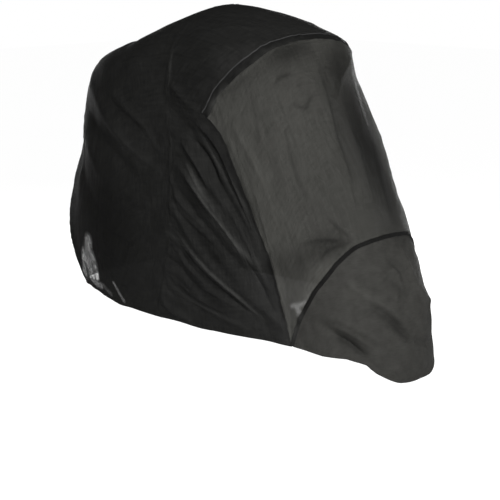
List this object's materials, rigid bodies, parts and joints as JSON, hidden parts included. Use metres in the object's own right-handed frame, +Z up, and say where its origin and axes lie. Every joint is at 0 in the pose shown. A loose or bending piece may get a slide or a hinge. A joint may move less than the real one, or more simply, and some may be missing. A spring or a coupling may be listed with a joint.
{
  "type": "stroller mosquito net cover",
  "caption": "Fitted mosquito net cover for a pushchair: dark mesh hood and back, sheer window and woven toe piece, hollow and open below.",
  "frame": {"origin": "underside of the hood's cloth at its crest, in the middle of its width, where what it covers holds it up", "axes": "+Z up, +Y towards the back, +X towards the far side of the picture; the window and toe face -Y"},
  "size_m": [0.5317, 1.1735, 0.8765],
  "materials": {
    "dark_mesh": "fine knitted mesh, matt",
    "window_mesh": "sheer knitted mesh, matt",
    "woven_cloth": "plain woven, matt",
    "binding": "woven tape, matt",
    "piping": "corded, soft sheen"
  },
  "bodies": {
    "root": {"hood_panel": "dark_mesh", "back_panel": "dark_mesh", "window_panel": "window_mesh", "foot_panel": "woven_cloth", "foot_binding": "binding", "bow_band": "binding", "bow_piping": "piping"}
  },
  "joints": []
}
